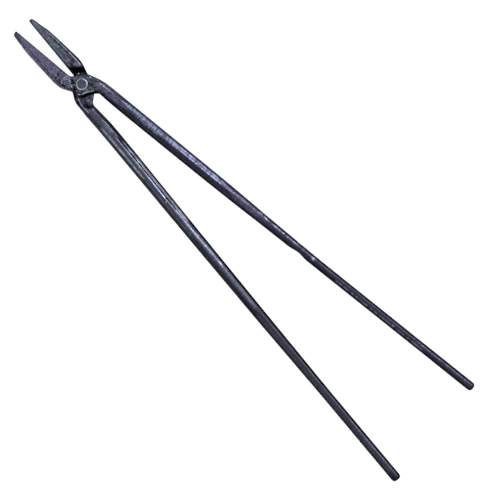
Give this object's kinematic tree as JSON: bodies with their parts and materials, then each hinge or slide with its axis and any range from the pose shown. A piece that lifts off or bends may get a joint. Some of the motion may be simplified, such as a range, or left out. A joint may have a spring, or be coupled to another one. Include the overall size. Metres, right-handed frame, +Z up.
{
  "type": "straight lip tongs",
  "caption": "Straight lip smith's tongs: two forged halves lap at bosses on one rivet, with long flat-gripping tapered jaws and long reins that fade from square to round.",
  "frame": {"origin": "middle of the lower rivet head's flat face, which lies on the bench", "axes": "+X from the rivet along the line that halves the jaw opening to the tips, +Z up along the rivet, +Y towards the front half's jaw"},
  "size_m": [0.6128, 0.1318, 0.0243],
  "materials": {
    "forged_scale": "oiled black forge scale, worn bright on the ridges",
    "forged_scale_dark": "oiled black forge scale, worn bright on the ridges",
    "rivet_steel": "headed steel, dull, with a rubbed chamfer"
  },
  "bodies": {
    "front": {"front_half": "forged_scale", "pivot_rivet": "rivet_steel"},
    "back": {"back_half": "forged_scale_dark"}
  },
  "joints": [
    {"name": "pivot", "type": "hinge", "parent": "front", "child": "back", "pos_m": [0, 0, 0.0122], "axis": [0, 0, -1], "range_deg": [-11, 28]}
  ]
}
